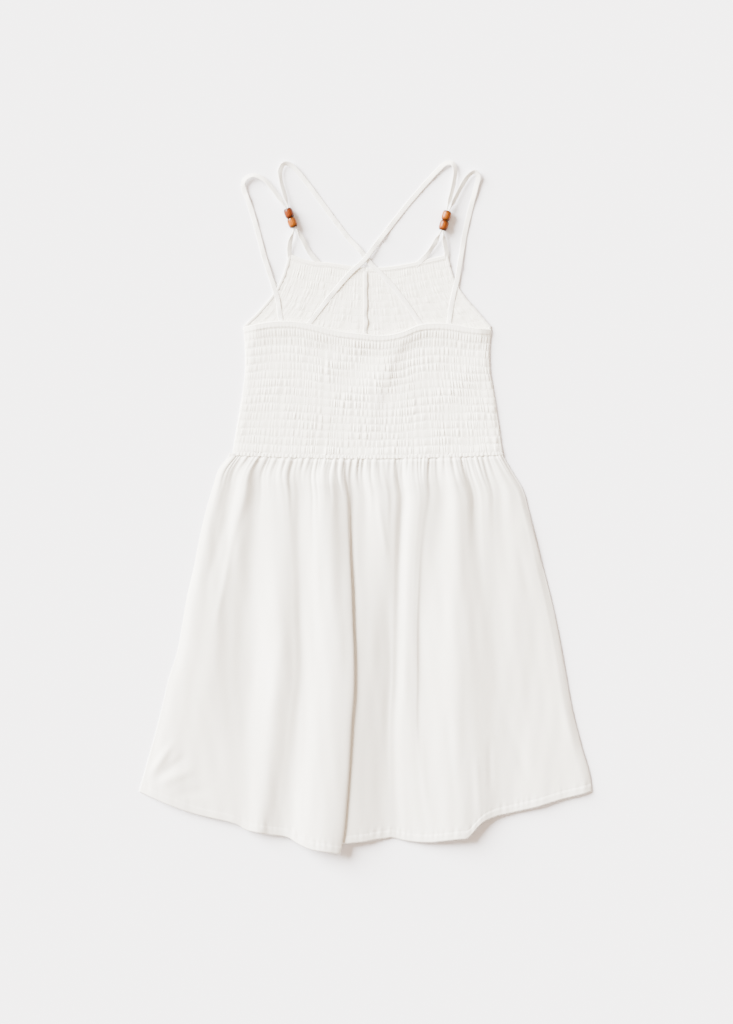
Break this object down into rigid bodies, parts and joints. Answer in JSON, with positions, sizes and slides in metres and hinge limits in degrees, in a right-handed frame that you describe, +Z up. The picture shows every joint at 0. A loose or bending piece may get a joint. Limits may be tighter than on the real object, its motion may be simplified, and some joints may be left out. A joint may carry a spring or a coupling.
{
  "type": "dress",
  "caption": "child's sleeveless sundress laid flat with its back upward: shirred bodice, gathered flared skirt, thin crossing double straps drawn together by wooden beads",
  "frame": {"origin": "centre of the laid dress's outline, on the surface that it lies on", "axes": "+X to the right across the dress as seen from above, +Y from the hem to the straps, +Z up from the surface"},
  "size_m": [0.4807, 0.7341, 0.0134],
  "materials": {
    "cotton_plain": "off-white fine plain-woven cotton, matte",
    "cotton_shirred": "off-white fine cotton, gathered on rows of elastic thread, matte",
    "cotton_tape": "off-white narrow folded and stitched cotton strap, matte",
    "bead_wood": "orange-brown turned wood, varnished and glossy"
  },
  "bodies": {
    "root": {"skirt_front": "cotton_plain", "skirt_back": "cotton_plain", "bodice_front_left": "cotton_shirred", "bodice_front_right": "cotton_shirred", "bodice_back": "cotton_shirred", "armhole_binding_left": "cotton_plain", "armhole_binding_right": "cotton_plain", "front_seam_allowance": "cotton_plain", "strap_left_outer": "cotton_tape", "strap_left_inner": "cotton_tape", "strap_right_inner": "cotton_tape", "strap_right_outer": "cotton_tape", "bead_left_upper": "bead_wood", "bead_left_lower": "bead_wood", "bead_right_upper": "bead_wood", "bead_right_lower": "bead_wood"}
  },
  "joints": []
}
